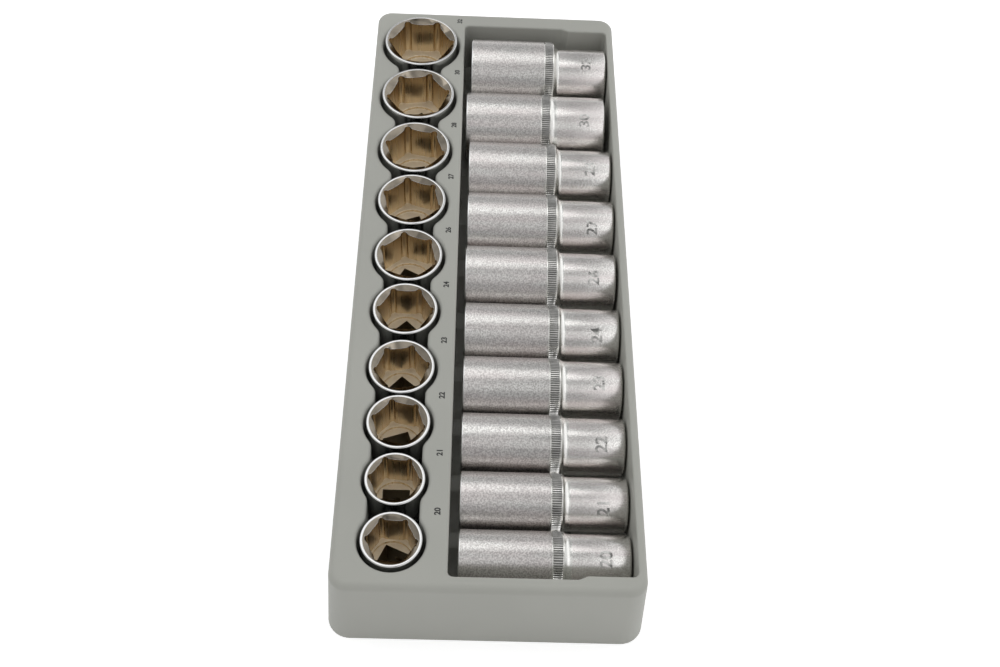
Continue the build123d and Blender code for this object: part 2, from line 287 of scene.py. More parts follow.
class RingMesh:
    """A closed mesh made of rings round the Z axis, each joined to the one before."""

    def __init__(self):
        self.mesh = bmesh.new()
        self.first = None
        self.last = None

    def ring(self, angles, radius, height, material):
        """Adds a ring and joins it to the last one; radius and height may be functions of the angle."""
        points = []
        for angle in angles:
            r = radius(angle) if callable(radius) else radius
            z = height(angle) if callable(height) else height
            points.append(self.mesh.verts.new((r * cos(angle) * MM, r * sin(angle) * MM, z * MM)))
        ring = (list(angles), points)
        if self.last is not None:
            self.join(self.last, ring, material)
        if self.first is None:
            self.first = ring
        self.last = ring

    def close(self, material):
        """Joins the last ring to the first one."""
        self.join(self.last, self.first, material)

    def join(self, low, high, material):
        """Quads between rings with the same angles, and triangles between rings with different ones.

        Between rings with the same angles, material may be a function of the step round the ring.
        """
        if low[0] == high[0]:
            count = len(low[1])
            for step in range(count):
                after = (step + 1) % count
                chosen = material(step) if callable(material) else material
                self.face((low[1][step], low[1][after], high[1][after], high[1][step]), chosen)
            return
        near, far = 0, 0
        while near < len(low[1]) or far < len(high[1]):
            next_near = low[0][near + 1] if near + 1 < len(low[0]) else 2 * pi + low[0][0]
            next_far = high[0][far + 1] if far + 1 < len(high[0]) else 2 * pi + high[0][0]
            step_near = far >= len(high[1]) or (near < len(low[1]) and next_near <= next_far)
            a, b = low[1][near % len(low[1])], high[1][far % len(high[1])]
            if step_near:
                near += 1
                self.face((a, low[1][near % len(low[1])], b), material)
            else:
                far += 1
                self.face((a, high[1][far % len(high[1])], b), material)

    def face(self, corners, material):
        """One smooth face."""
        face = self.mesh.faces.new(corners)
        face.material_index = material
        face.smooth = True


# ---------------------------------------------------------------- one socket
# places of the finishes in a socket's list of materials
OUTSIDE, DRIVE, BAND, COVE, LIP, CONE, WALLS, LAND, BORE, GROOVE = range(10)


def drive_end_rings(shape, drive_radius, square_turn, facets):
    """From the top of the square hole, down through it and round to the drive end's outer edge."""
    angles = square_angles(SQUARE_HOLE_WIDTH, square_turn)
    dimple = [DETENT_HEIGHT - DIMPLE_RADIUS * step / DIMPLE_STEPS
              for step in range(-DIMPLE_STEPS, DIMPLE_STEPS + 1)]
    levels = [DRIVE_DEPTH, DRIVE_DEPTH - HOLE_TOP_EDGE, DETENT_HEIGHT + DIMPLE_RADIUS + DIMPLE_MARGIN]
    levels += dimple
    levels += [DETENT_HEIGHT - DIMPLE_RADIUS - DIMPLE_MARGIN, DRIVE_MOUTH_CHAMFER]
    for level in levels:
        def wall(angle, level=level):
            plain = square_radius(SQUARE_HOLE_WIDTH, square_turn, angle)
            return plain + dimple_push(SQUARE_HOLE_WIDTH, square_turn, angle, level)
        shape.ring(angles, wall, level, BORE)
    mouth = SQUARE_HOLE_WIDTH + 2 * DRIVE_MOUTH_CHAMFER
    shape.ring(angles, lambda angle: square_radius(mouth, square_turn, angle), 0.0, DRIVE)
    shape.ring(facets, drive_radius - END_CHAMFER - END_FLAT_EDGE, 0.0, DRIVE)
    shape.ring(facets, drive_radius - END_CHAMFER, CHAMFER_FOOT, COVE)
    shape.ring(facets, drive_radius - CHAMFER_HEAD, END_CHAMFER - CHAMFER_HEAD, COVE)
    shape.ring(facets, drive_radius, END_CHAMFER + CHAMFER_EDGE, DRIVE)


def cove_rings(shape, radius, drive_radius, drive_length, facets):
    """The hollow polished curve between the drive end and the knurled band."""
    shoulder = radius - (radius - drive_radius) * COVE_SHOULDER_SHARE
    shape.ring(facets, drive_radius, drive_length - COVE_EDGE, DRIVE)
    for step in range(COVE_STEPS + 1):
        share = step / COVE_STEPS
        lift = 1 - sqrt(max(0.0, 1 - share ** 2))
        rise = COVE_FLATNESS * share ** 2 + (1 - COVE_FLATNESS) * lift
        curve = drive_radius + (shoulder - drive_radius) * rise
        shape.ring(facets, curve, drive_length + COVE_WIDTH * share, COVE)


def band_rings(shape, radius, start, look, facets):
    """A plain line, the knurled band and another plain line."""
    groove = radius - KNURL_GROOVE
    end = start + KNURL_WIDTH
    shape.ring(facets, radius - GROOVE_LIP, start - GROOVE_LIP, COVE)
    shape.ring(facets, groove, start, COVE)
    shape.ring(facets, groove, start + KNURL_GROOVE, COVE)

    # four steps for each tooth: two on the ridge, two in the groove
    teeth = round(2 * pi * radius * MM / look.knurl_pitch)
    quarter = pi / 2 / teeth
    angles = sorted((2 * pi * tooth / teeth + quarter * part) % (2 * pi)
                    for tooth in range(teeth) for part in range(4))
    depth = look.knurl_depth / MM

    def ridge(lowered):
        return lambda angle: radius - lowered - (depth if int(angle / quarter + 0.5) % 4 in (2, 3) else 0.0)

    # the groove steps take the knurl groove's painted shade, the ridge steps the band's painted highlight
    def finish_of(step):
        return GROOVE if step % 4 in (2, 3) else BAND

    shape.ring(angles, ridge(RIDGE_ROUND), start + KNURL_GROOVE + RIDGE_GAP, BAND)
    shape.ring(angles, ridge(0.0), start + KNURL_GROOVE + RIDGE_ROUND, finish_of)
    shape.ring(angles, ridge(0.0), end - RIDGE_ROUND, finish_of)
    shape.ring(angles, ridge(RIDGE_ROUND), end - RIDGE_GAP, finish_of)
    shape.ring(facets, groove, end, COVE)
    shape.ring(facets, groove, end + KNURL_GROOVE, COVE)
    shape.ring(facets, radius - GROOVE_EDGE, end + KNURL_GROOVE + GROOVE_EDGE_RISE, COVE)
    shape.ring(facets, radius, end + KNURL_GROOVE + GROOVE_END_RISE, COVE)


def mouth_rings(shape, size, radius, length, hexagon_depth, hexagon_turn, facets):
    """The rounded lip, the lead-in cone, the hexagon and the land and bore below it."""
    shape.ring(facets, radius, length - LIP_ROUND - LIP_EDGE, OUTSIDE)
    for step in range(LIP_STEPS + 1):
        angle = pi / 2 * step / LIP_STEPS
        shape.ring(facets, radius - LIP_ROUND * (1 - cos(angle)), length - LIP_ROUND * (1 - sin(angle)), LIP)
    mouth = radius - LIP_WIDTH
    angles = hexagon_angles(size, hexagon_turn)

    def wall(angle):
        return hexagon_radius(size, hexagon_turn, angle)

    def cone(angle, out=0.0):
        return length - (mouth - wall(angle) - out) * LEAD_IN_RISE

    shape.ring(facets, mouth + LIP_FLAT_EDGE, length, LIP)
    shape.ring(facets, mouth + LIP_LINE, length - LIP_LINE_DROPS[0], LIP)
    shape.ring(angles, mouth - LIP_LINE, length - LIP_LINE_DROPS[1], LIP)
    shape.ring(angles, lambda angle: wall(angle) + CONE_FOOT,
               lambda angle: cone(angle, CONE_FOOT) - CONE_FOOT_DROP, CONE)
    # a fine line of polished chrome at the foot of the cone: a painted highlight along the hexagon's top edge
    shape.ring(angles, lambda angle: wall(angle) + WALL_LINE, lambda angle: cone(angle) - WALL_LINE_DROP, LIP)
    shape.ring(angles, wall, lambda angle: cone(angle) - WALL_TOP_DROP, WALLS)
    floor = length - hexagon_depth
    shape.ring(angles, wall, (length + floor) / 2, WALLS)
    shape.ring(angles, wall, floor + FLOOR_EDGE_RISE, WALLS)
    shape.ring(angles, lambda angle: wall(angle) - FLOOR_EDGE_IN, floor, LAND)
    bore = (RECESS_BASE + size / 2) / 2
    shape.ring(angles, bore + BORE_EDGE_OUT, floor, LAND)
    shape.ring(angles, bore, floor - BORE_EDGE_DROP, LAND)
    shape.ring(facets, bore, floor - BORE_TOP_DROP, WALLS)
    if floor - BORE_TOP_DROP > DRIVE_DEPTH + LONG_BORE:
        shape.ring(facets, bore, (floor + DRIVE_DEPTH) / 2, WALLS)
    shape.ring(facets, bore, DRIVE_DEPTH + BORE_FOOT, WALLS)
    shape.ring(facets, bore - BORE_FOOT, DRIVE_DEPTH, LAND)
    shape.close(LAND)


def socket_mesh(name, size, radius, length, drive_radius, drive_length, hexagon_depth, turns, look):
    """The whole skin of one socket, in one closed mesh.

    Its "depth" grows from 0 at the mouth to 1 at the hexagon's floor.
    """
    shape = RingMesh()
    facets = circle_angles(look.facets)
    hexagon_turn, square_turn = (radians(turn) for turn in turns)
    drive_end_rings(shape, drive_radius, square_turn, facets)
    cove_rings(shape, radius, drive_radius, drive_length, facets)
    band_rings(shape, radius, drive_length + COVE_WIDTH + COVE_SHOULDER, look, facets)
    mouth_rings(shape, size, radius, length, hexagon_depth, hexagon_turn, facets)
    mesh = bpy.data.meshes.new(name)
    shape.mesh.to_mesh(mesh)
    shape.mesh.free()
    depth = mesh.attributes.new("depth", "FLOAT", "POINT")
    for vertex, entry in zip(mesh.vertices, depth.data):
        entry.value = min(1.0, max(0.0, (length - vertex.co.z / MM) / hexagon_depth))
    mesh.set_sharp_from_angle(angle=radians(SHARP_ANGLE))
    return mesh


# ---------------------------------------------------------------- nodes that the materials share
MOST_NOISE = (0.3, 0.7)        # nearly all of a noise texture's values lie between these
MAIN_NOISE = (0.35, 0.65)      # and most of them between these


def new_material(name):
    """A material with its Principled shader, ready for more nodes."""
    material = bpy.data.materials.new(name)
    material.use_nodes = True
    tree = material.node_tree
    return material, tree, tree.nodes["Principled BSDF"]


def group_output(tree, **sockets):
    """The group's outputs, each named and fed by a socket."""
    out = tree.nodes.new("NodeGroupOutput")
    for name, socket in sockets.items():
        tree.interface.new_socket(name=name, in_out="OUTPUT", socket_type="NodeSocketFloat")
        tree.links.new(socket, out.inputs[name])


def surface_marks():
    """Node group: a fine grain and soft clouds, each a value over the surface."""
    known = bpy.data.node_groups.get("Surface marks")
    if known:
        return known
    tree = bpy.data.node_groups.new("Surface marks", "ShaderNodeTree")
    given = tree.nodes.new("NodeGroupInput")
    place = tree.nodes.new("ShaderNodeTexCoord")
    noises = {}
    for name, scale, detail in (("Grain", 900.0, 2.0), ("Cloud", 25.0, 4.0)):
        scale_name = f"{name} scale"
        entry = tree.interface.new_socket(name=scale_name, in_out="INPUT", socket_type="NodeSocketFloat")
        entry.default_value = scale
        noise = tree.nodes.new("ShaderNodeTexNoise")
        noise.inputs["Detail"].default_value = detail
        tree.links.new(place.outputs["Object"], noise.inputs["Vector"])
        tree.links.new(given.outputs[scale_name], noise.inputs["Scale"])
        noises[name] = noise.outputs["Fac"]
    group_output(tree, **noises)
    return tree


def add_marks(tree, grain_scale, cloud_scale):
    """The group above, placed in a material with its own scales."""
    node = tree.nodes.new("ShaderNodeGroup")
    node.node_tree = surface_marks()
    node.inputs["Grain scale"].default_value = grain_scale
    node.inputs["Cloud scale"].default_value = cloud_scale
    return node


def spread(tree, value, low, high, to_low, to_high):
    """Maps a value's range to another range."""
    node = tree.nodes.new("ShaderNodeMapRange")
    node.inputs["From Min"].default_value = low
    node.inputs["From Max"].default_value = high
    node.inputs["To Min"].default_value = to_low
    node.inputs["To Max"].default_value = to_high
    tree.links.new(value, node.inputs["Value"])
    return node.outputs["Result"]


def mix_colours(tree, factor, first, second):
    """Blends two colours by a value."""
    node = tree.nodes.new("ShaderNodeMix")
    node.data_type = "RGBA"
    node.inputs["A"].default_value = (*first, 1.0)
    node.inputs["B"].default_value = (*second, 1.0)
    tree.links.new(factor, node.inputs["Factor"])
    return node.outputs["Result"]


def darken(tree, factor, colour, tone):
    """Multiplies a colour by a tone, as far as the factor says."""
    node = tree.nodes.new("ShaderNodeMix")
    node.data_type = "RGBA"
    node.blend_type = "MULTIPLY"
    node.inputs["B"].default_value = (*tone, 1.0)
    tree.links.new(factor, node.inputs["Factor"])
    tree.links.new(colour, node.inputs["A"])
    return node.outputs["Result"]


def bump(tree, shader, height, distance, strength):
    """Feeds a height to the shader's normal; distance is in metres."""
    node = tree.nodes.new("ShaderNodeBump")
    node.inputs["Distance"].default_value = distance
    node.inputs["Strength"].default_value = strength
    tree.links.new(height, node.inputs["Height"])
    tree.links.new(node.outputs["Normal"], shader.inputs["Normal"])


def drawn_lines(tree, stretch):
    """Noise drawn out along one axis, as a machining tool leaves it; stretch holds the scale on each axis."""
    place = tree.nodes.new("ShaderNodeTexCoord")
    drawn = tree.nodes.new("ShaderNodeMapping")
    drawn.inputs["Scale"].default_value = stretch
    noise = tree.nodes.new("ShaderNodeTexNoise")
    noise.inputs["Scale"].default_value = 1.0
    noise.inputs["Detail"].default_value = 3.0
    tree.links.new(place.outputs["Object"], drawn.inputs["Vector"])
    tree.links.new(drawn.outputs["Vector"], noise.inputs["Vector"])
    return noise.outputs["Fac"]


def shade(colour, amount):
    """A darker or lighter version of a colour."""
    return tuple(min(1.0, part * amount) for part in colour)


def clouded(tree, shader, marks, first, second, reach=MOST_NOISE):
    """Colours the surface between two colours, by the soft clouds."""
    factor = spread(tree, marks.outputs["Cloud"], *reach, 0.0, 1.0)
    tree.links.new(mix_colours(tree, factor, first, second), shader.inputs["Base Color"])


def uneven_roughness(tree, shader, value, low, high):
    """Spreads the roughness between two values, by a noise."""
    tree.links.new(spread(tree, value, *MOST_NOISE, low, high), shader.inputs["Roughness"])


def clouded_metal(name, scales, first, second, roughness, rough_by="Grain", reach=MOST_NOISE, relief=None):
    """Metal coloured by soft clouds; rough_by and relief's first part say which noise is followed."""
    material, tree, shader = new_material(name)
    marks = add_marks(tree, *scales)
    shader.inputs["Metallic"].default_value = 1.0
    clouded(tree, shader, marks, first, second, reach)
    uneven_roughness(tree, shader, marks.outputs[rough_by], *roughness)
    if relief:
        noise, distance, strength = relief
        bump(tree, shader, marks.outputs[noise], distance, strength)
    return material


# ---------------------------------------------------------------- materials
def tray_plastic(look):
    """Satin moulded plastic with a fine grain and faint clouds."""
    material, tree, shader = new_material("tray plastic")
    marks = add_marks(tree, 2600.0, 14.0)
    clouded(tree, shader, marks, shade(look.plastic, 0.96), shade(look.plastic, 1.04))
    uneven_roughness(tree, shader, marks.outputs["Grain"], 0.46, 0.58)
    shader.inputs["Specular IOR Level"].default_value = 0.35
    bump(tree, shader, marks.outputs["Grain"], 0.00004, 0.5)
    return material


def polished_chrome(look):
    """Bright plating with the faint waviness of a buffed surface."""
    return clouded_metal("polished chrome", (500.0, 90.0), shade(look.chrome, 0.93), look.chrome,
                         (0.08, 0.17), rough_by="Cloud", relief=("Cloud", 0.00012, 0.4))


def speckled_chrome(name, look, tone, speckle_tone, roughness):
    """Satin plating: a fine speckle, with greyer and pinker streaks drawn out along the socket."""
    material, tree, shader = new_material(name)
    marks = add_marks(tree, 1300.0, 60.0)
    shader.inputs["Metallic"].default_value = 1.0
    streaks = drawn_lines(tree, (22.0, 200.0, 200.0))
    plain = shade(look.satin, tone)
    pinker = tuple(part * share for part, share in zip(plain, (1.0, 0.955, 0.965)))
    streaked = mix_colours(tree, spread(tree, streaks, *MAIN_NOISE, 0.0, 1.0), plain, pinker)
    speckle = (speckle_tone, speckle_tone * 0.98, speckle_tone * 0.985)
    grain = spread(tree, marks.outputs["Grain"], 0.38, 0.62, 1.0, 0.0)
    tree.links.new(darken(tree, grain, streaked, speckle), shader.inputs["Base Color"])
    uneven_roughness(tree, shader, streaks, roughness, roughness + 0.09)
    bump(tree, shader, marks.outputs["Grain"], 0.00004, 1.0)
    return material


def satin_chrome(look):
    """The speckled plating of a deep socket's hexagon end."""
    return speckled_chrome("satin chrome", look, 1.0, 0.63, 0.26)


def drive_satin(look):
    """The smoother plating of a deep socket's drive end, lighter and less speckled as a painted highlight."""
    # painted highlight: tone 1.14 and a fainter speckle than the satin chrome's
    return speckled_chrome("drive satin", look, 1.14, 0.82, 0.22)


def knurled_chrome(look):
    """The ridges of the knurled band, lighter than the plating as a painted highlight."""
    # painted highlight: the satin colour raised to 1.05 to 1.2 times
    return clouded_metal("knurled chrome", (1500.0, 200.0), shade(look.satin, 1.05), shade(look.satin, 1.20),
                         (0.14, 0.22))


def knurl_groove(look):
    """The grooves between the ridges, dull, and darkened with painted shade."""
    # painted shade: the satin colour lowered to 0.22 to 0.40 times
    return clouded_metal("knurl groove", (1500.0, 200.0), shade(look.satin, 0.22), shade(look.satin, 0.40),
                         (0.40, 0.55))


def soft_chrome(look):
    """Plating that is smooth but not polished, in the hollow curve beside the knurled band, lighter than the
    satin plating as a painted highlight.
    """
    # painted highlight: the satin colour raised to 1.05 to 1.2 times
    return clouded_metal("soft chrome", (900.0, 70.0), shade(look.satin, 1.05), shade(look.satin, 1.2),
                         (0.20, 0.28))


def lead_in(look):
    """The cone above the hexagon: bright steel, browned by oil."""
    warm = tuple(0.35 * plain + 0.65 * brown for plain, brown in zip(look.chrome, look.bronze))
    return clouded_metal("lead-in steel", (900.0, 160.0), shade(warm, 0.36), shade(warm, 0.60), (0.05, 0.12),
                         rough_by="Cloud")


def oiled_walls(name, look, tone, roughness):
    """Machined walls, brown with oil, with painted shade that darkens them towards the mouth in place of
    their dark reflections there, and with fine lines along the axis.
    """
    material, tree, shader = new_material(name)
    shader.inputs["Metallic"].default_value = 1.0
    lines = drawn_lines(tree, (420.0, 420.0, 9.0))
    tint = mix_colours(tree, spread(tree, lines, *MAIN_NOISE, 0.0, 1.0),
                       shade(look.bronze, 1.10 * tone), shade(look.bronze, 1.32 * tone))
    depth = tree.nodes.new("ShaderNodeAttribute")
    depth.attribute_name = "depth"
    # painted shade: the colour is darkened towards the mouth, standing in for the dark reflections that the
    # walls show there
    painted_mouth_shade = spread(tree, depth.outputs["Fac"], 0.0, 0.85, 1.0, 0.0)
    tree.links.new(darken(tree, painted_mouth_shade, tint, (0.50, 0.48, 0.45)), shader.inputs["Base Color"])
    uneven_roughness(tree, shader, lines, roughness, roughness + 0.08)
    bump(tree, shader, lines, 0.00002, 0.4)
    return material


def oiled_steel(look):
    """The broached walls of the hexagon and the bore below it."""
    return oiled_walls("oiled steel", look, 1.0, 0.24)


def dark_bore(look):
    """The walls of the square drive hole: the hexagon's oiled steel at half brightness, as painted shade deep
    in the hole.
    """
    # painted shade: half the tone of the hexagon's walls
    return oiled_walls("dark bore", look, 0.5, 0.3)


def turned_land(look):
    """Bright turned steel at the bottom of the hexagon, with a fine grain."""
    return clouded_metal("turned land", (900.0, 100.0), shade(look.land, 0.9), look.land, (0.58, 0.70),
                         relief=("Grain", 0.00004, 0.5))


def printed_ink(look):
    """Matt black ink, slightly uneven."""
    material, tree, shader = new_material("printed ink")
    marks = add_marks(tree, 3000.0, 600.0)
    tint = mix_colours(tree, marks.outputs["Cloud"], look.ink, shade(look.ink, 3.0))
    tree.links.new(tint, shader.inputs["Base Color"])
    uneven_roughness(tree, shader, marks.outputs["Grain"], 0.5, 0.7)
    return material


def stamped_mark(look):
    """A stamped figure: the same plating, rougher, and dark in patches."""
    return clouded_metal("stamped mark", (2200.0, 300.0), shade(look.satin, 0.22), shade(look.satin, 1.0),
                         (0.3, 0.5), reach=MAIN_NOISE, relief=("Grain", 0.00008, 1.0))


FINISHES = {}


def finish(maker, look):
    """The material that maker builds, built the first time it is asked for."""
    if maker not in FINISHES:
        FINISHES[maker] = maker(look)
    return FINISHES[maker]


# ---------------------------------------------------------------- placing the pieces
def add_piece(name, mesh, matrix, materials, body, slot, *nodes):
    """Puts a mesh in the scene, rides it on its body and hides the nodes that it stands for."""
    mesh.transform(matrix)
    piece = bpy.data.objects.new(name, mesh)
    bpy.context.scene.collection.objects.link(piece)
    for entry in materials:
        mesh.materials.append(entry)
    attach(piece, body)
    if nodes:
        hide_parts(*nodes)
    return piece


def socket_materials(look, outside, drive, cove):
    """Materials in the order of the numbers OUTSIDE to GROOVE."""
    makers = (outside, drive, knurled_chrome, cove, polished_chrome, lead_in, oiled_steel, turned_land,
              dark_bore, knurl_groove)
    return [finish(maker, look) for maker in makers]


def deep_socket_place(node):
    """Lays a deep socket, or what is on it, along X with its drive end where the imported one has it."""
    low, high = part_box(node)
    place = Matrix.Translation((high.x, (low.y + high.y) / 2, (low.z + high.z) / 2))
    return place @ Matrix.Rotation(-pi / 2, 4, "Y")


def text_mesh(name, words, height, weight, thickness):
    """Words as a mesh, centred on the origin, as tall as height; weight makes the strokes bolder."""
    curve = bpy.data.curves.new(name, "FONT")
    curve.body = words
    curve.align_x = "CENTER"
    curve.align_y = "CENTER"
    curve.size = height * FONT_SHARE
    curve.offset = height * STROKE_OFFSET
    curve.bevel_depth = height * weight
    curve.bevel_resolution = 0
    curve.extrude = thickness / 2
    holder = bpy.data.objects.new(name, curve)
    bpy.context.scene.collection.objects.link(holder)
    bpy.context.view_layer.update()
    mesh = bpy.data.meshes.new_from_object(holder.evaluated_get(bpy.context.evaluated_depsgraph_get()))
    bpy.data.objects.remove(holder)
    bpy.data.curves.remove(curve)
    mesh.name = name
    return mesh


def wrap_round(mesh, radius, middle):
    """Bends a flat text round the Z axis at that radius; middle is the angle of the text's middle."""
    cut = bmesh.new()
    cut.from_mesh(mesh)
    ends = [vertex.co.x for vertex in cut.verts]
    place = min(ends) + WRAP_STEP * MM
    while place < max(ends):
        everything = cut.verts[:] + cut.edges[:] + cut.faces[:]
        bmesh.ops.bisect_plane(cut, geom=everything, plane_co=(place, 0, 0), plane_no=(1, 0, 0))
        place += WRAP_STEP * MM
    cut.to_mesh(mesh)
    cut.free()
    for vertex in mesh.vertices:
        across, up, lift = vertex.co
        angle = middle + across / radius
        out = radius + lift
        vertex.co = (out * cos(angle), out * sin(angle), up)


class SOCKETTRAY_OT_tray(bpy.types.Operator):
    """Give the moulded tray its plastic finish"""
    bl_idname = "socket_tray.tray"
    bl_label = "Tray"

    def execute(self, context):
        plastic = finish(tray_plastic, context.scene.tray_look)
        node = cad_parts["tray"]
        node.data.materials.clear()
        node.data.materials.append(plastic)
        return {"FINISHED"}


class SOCKETTRAY_OT_short_sockets(bpy.types.Operator):
    """Build the ten short sockets"""
    bl_idname = "socket_tray.short_sockets"
    bl_label = "Short sockets"

    def execute(self, context):
        look = context.scene.socket_look
        materials = socket_materials(look, polished_chrome, polished_chrome, polished_chrome)
        for size, hexagon_turn, square_turn in zip(SIZES, SHORT_HEXAGON_TURNS, SHORT_SQUARE_TURNS):
            name = f"short_{size}"
            node = f"short_socket_{size}mm"
            low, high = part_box(node)
            radius = (high.x - low.x) / 2 / MM
            length = (high.z - low.z) / MM
            depth = length - DRIVE_DEPTH - SHORT_RECESS_DEPTH
            mesh = socket_mesh(name, size, radius, length, radius * SHORT_DRIVE_SHARE, SHORT_DRIVE_LENGTH,
                               depth, (hexagon_turn, square_turn), look)
            place = Matrix.Translation(((low.x + high.x) / 2, (low.y + high.y) / 2, low.z))
            add_piece(name, mesh, place, materials, name, "polished_chrome", node)
        return {"FINISHED"}


class SOCKETTRAY_OT_deep_sockets(bpy.types.Operator):
    """Build the ten deep sockets"""
    bl_idname = "socket_tray.deep_sockets"
    bl_label = "Deep sockets"

    def execute(self, context):
        look = context.scene.socket_look
        materials = socket_materials(look, satin_chrome, drive_satin, soft_chrome)
        for number, (size, drive_diameter) in enumerate(zip(SIZES, DEEP_DRIVE_DIAMETERS)):
            name = f"deep_{size}"
            node = f"deep_socket_{size}mm"
            low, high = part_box(node)
            radius = (high.y - low.y) / 2 / MM
            length = (high.x - low.x) / MM
            turn = number * DEEP_TURN_STEP
            mesh = socket_mesh(name, size, radius, length, drive_diameter / 2, DEEP_DRIVE_LENGTH,
                               DEEP_HEXAGON_DEPTH, (turn, turn), look)
            add_piece(name, mesh, deep_socket_place(node), materials, name, "satin_chrome", node)
        return {"FINISHED"}


class SOCKETTRAY_OT_printed_sizes(bpy.types.Operator):
    """Print each socket's size on the tray, between the two rows"""
    bl_idname = "socket_tray.printed_sizes"
    bl_label = "Printed sizes"

    def execute(self, context):
        look = context.scene.tray_look
        ink = finish(printed_ink, look)
        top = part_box("tray")[1].z
        for size in SIZES:
            name = f"size_{size}"
            low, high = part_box(f"short_socket_{size}mm")
            radius = (high.x - low.x) / 2
            middle = (low + high) / 2
            x = middle.x + PRINT_OUT * MM + PRINT_WIDE_SHARE * max(0.0, radius - PRINT_WIDE_RADIUS * MM)
            y = middle.y + PRINT_BACK_SHARE * radius
            mesh = text_mesh(name, str(size), look.digit_height, PRINT_WEIGHT, PRINT_THICKNESS * MM)
            place = Matrix.Translation((x, y, top)) @ Matrix.Rotation(pi / 2, 4, "Z")
            add_piece(name, mesh, place, [ink], "tray", "tray_plastic")
        return {"FINISHED"}


class SOCKETTRAY_OT_stamped_sizes(bpy.types.Operator):
    """Stamp each deep socket's size on its drive end"""
    bl_idname = "socket_tray.stamped_sizes"
    bl_label = "Stamped sizes"

    def execute(self, context):
        look = context.scene.tray_look
        mark = finish(stamped_mark, context.scene.socket_look)
        for size, drive_diameter, turn in zip(SIZES, DEEP_DRIVE_DIAMETERS, STAMP_TURNS):
            name = f"stamp_{size}"
            mesh = text_mesh(name, str(size), look.stamp_height, STAMP_WEIGHT, STAMP_THICKNESS * MM)
            wrap_round(mesh, drive_diameter / 2 * MM + STAMP_LIFT * MM, turn)
            mesh.transform(Matrix.Translation((0, 0, STAMP_PLACE * MM)))
            place = deep_socket_place(f"deep_socket_{size}mm")
            add_piece(name, mesh, place, [mark], f"deep_{size}", "satin_chrome")
        return {"FINISHED"}


# ---------------------------------------------------------------- stage
CAMERA_PLACE = Vector((-15.5, -451.1, 578.7)) * MM
CAMERA_AIM = Vector((4.1, -50.5, 46.0)) * MM
CAMERA_ROLL = 3.94
SENSOR_WIDTH = 36.0

# lights and floor, in metres
KEY_PLACE = (-0.42, 0.48, 1.18)
KEY_AIM = (0.0, 0.0, 0.0)
KEY_SIZE = (1.3, 1.3)
FILL_PLACE = (0.10, -0.62, 1.15)
FILL_AIM = (0.0, 0.05, 0.0)
FILL_SIZE = (1.3, 0.7)
FLOOR_HALF = 3.0

SKY_FRONT = (0.50, 0.50, 0.505)
SKY_BACK = (0.60, 0.605, 0.61)
SKY_TURN = (-0.45, 0.10)       # from the front's grey to the back's, along Y
# places along X, and how bright the sky is there
SKY_LEFT = (0.02, 1.0)
SKY_MIDDLE = ((0.14, 0.45), (0.22, 0.45), (0.36, 2.2))
SKY_RIGHT = (0.95, 1.2)
HORIZON = (0.80, 0.80, 0.80)
HORIZON_FADE = (0.10, 0.30)    # from the horizon's grey to the sky's, along Z


def build_world():
    """A studio surround: even at the horizon, and above it darker in front and uneven from left to right."""
    world = bpy.data.worlds.new("studio")
    bpy.context.scene.world = world
    world.use_nodes = True
    tree = world.node_tree
    place = tree.nodes.new("ShaderNodeTexCoord")
    parts = tree.nodes.new("ShaderNodeSeparateXYZ")
    tree.links.new(place.outputs["Generated"], parts.inputs["Vector"])
    back = mix_colours(tree, spread(tree, parts.outputs["Y"], *SKY_TURN, 0.0, 1.0), SKY_FRONT, SKY_BACK)
    across = tree.nodes.new("ShaderNodeValToRGB")
    ramp = across.color_ramp.elements
    for element, (position, level) in zip((ramp[0], ramp[1]), (SKY_LEFT, SKY_RIGHT)):
        element.position = position
        element.color = (level, level, level, 1.0)
    for position, level in SKY_MIDDLE:
        ramp.new(position).color = (level, level, level, 1.0)
    tree.links.new(parts.outputs["X"], across.inputs["Fac"])
    upper = tree.nodes.new("ShaderNodeMix")
    upper.data_type = "RGBA"
    upper.blend_type = "MULTIPLY"
    upper.inputs["Factor"].default_value = 1.0
    tree.links.new(back, upper.inputs["A"])
    tree.links.new(across.outputs["Color"], upper.inputs["B"])
    rise = tree.nodes.new("ShaderNodeMix")
    rise.data_type = "RGBA"
    rise.inputs["A"].default_value = (*HORIZON, 1.0)
    tree.links.new(spread(tree, parts.outputs["Z"], *HORIZON_FADE, 0.0, 1.0), rise.inputs["Factor"])
    tree.links.new(upper.outputs["Result"], rise.inputs["B"])
    tree.links.new(rise.outputs["Result"], tree.nodes["Background"].inputs["Color"])


def floor_paper(look):
    """Pale paper, whiter where the camera sees it, also in a mirror or through glass."""
    paper, tree, shader = new_material("floor paper")
    marks = add_marks(tree, 400.0, 3.0)
    tint = mix_colours(tree, marks.outputs["Cloud"], look.floor, shade(look.floor, 1.02))
    tree.links.new(tint, shader.inputs["Base Color"])
    shader.inputs["Roughness"].default_value = 0.9
    shader.inputs["Specular IOR Level"].default_value = 0.1
    path = tree.nodes.new("ShaderNodeLightPath")
    seen = path.outputs["Is Camera Ray"]
    for ray in ("Is Glossy Ray", "Is Transmission Ray"):
        either = tree.nodes.new("ShaderNodeMath")
        either.operation = "MAXIMUM"
        tree.links.new(seen, either.inputs[0])
        tree.links.new(path.outputs[ray], either.inputs[1])
        seen = either.outputs["Value"]
    shader.inputs["Emission Color"].default_value = (1.0, 1.0, 1.0, 1.0)
    tree.links.new(spread(tree, seen, 0.0, 1.0, 0.0, look.floor_white), shader.inputs["Emission Strength"])
    return paper


